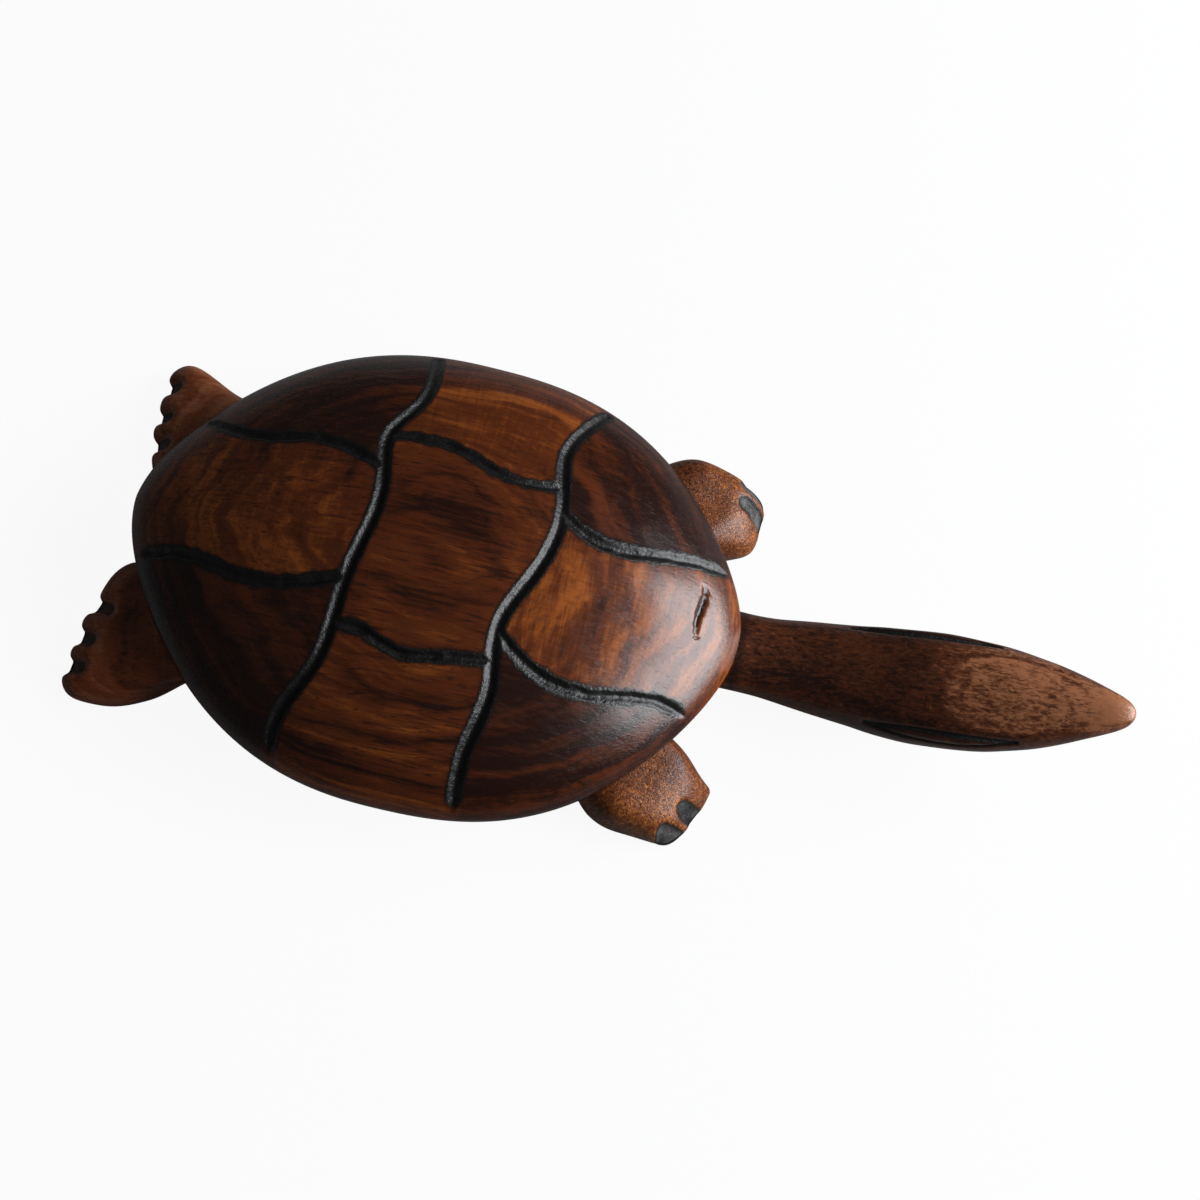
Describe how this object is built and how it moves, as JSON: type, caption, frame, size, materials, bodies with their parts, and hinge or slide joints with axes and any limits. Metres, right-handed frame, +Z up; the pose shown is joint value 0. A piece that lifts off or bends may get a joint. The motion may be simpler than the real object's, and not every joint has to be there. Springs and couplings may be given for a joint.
{
  "type": "turtle figurine",
  "caption": "Hand-carved hardwood turtle ornament with a domed shell, burnt plate grooves, a long raised head and notched feet.",
  "frame": {"origin": "ground point under the middle of the whole turtle's box", "axes": "+X towards the head, +Y towards the turtle's left, +Z up"},
  "size_m": [0.1907, 0.091, 0.0309],
  "materials": {
    "shell_wood": "waxed satin, grooves burnt black",
    "head_wood": "waxed satin, eye lines burnt black",
    "leg_wood": "waxed satin, toe notches burnt black",
    "belly_wood": "oiled, hand sanded",
    "dowel_wood": "plain wood, glued"
  },
  "bodies": {
    "root": {"carapace": "shell_wood", "belly": "belly_wood", "head_and_neck": "head_wood", "front_left_leg": "leg_wood", "front_right_leg": "leg_wood", "rear_left_leg": "leg_wood", "rear_right_leg": "leg_wood", "shell_dowels": "dowel_wood"}
  },
  "joints": []
}
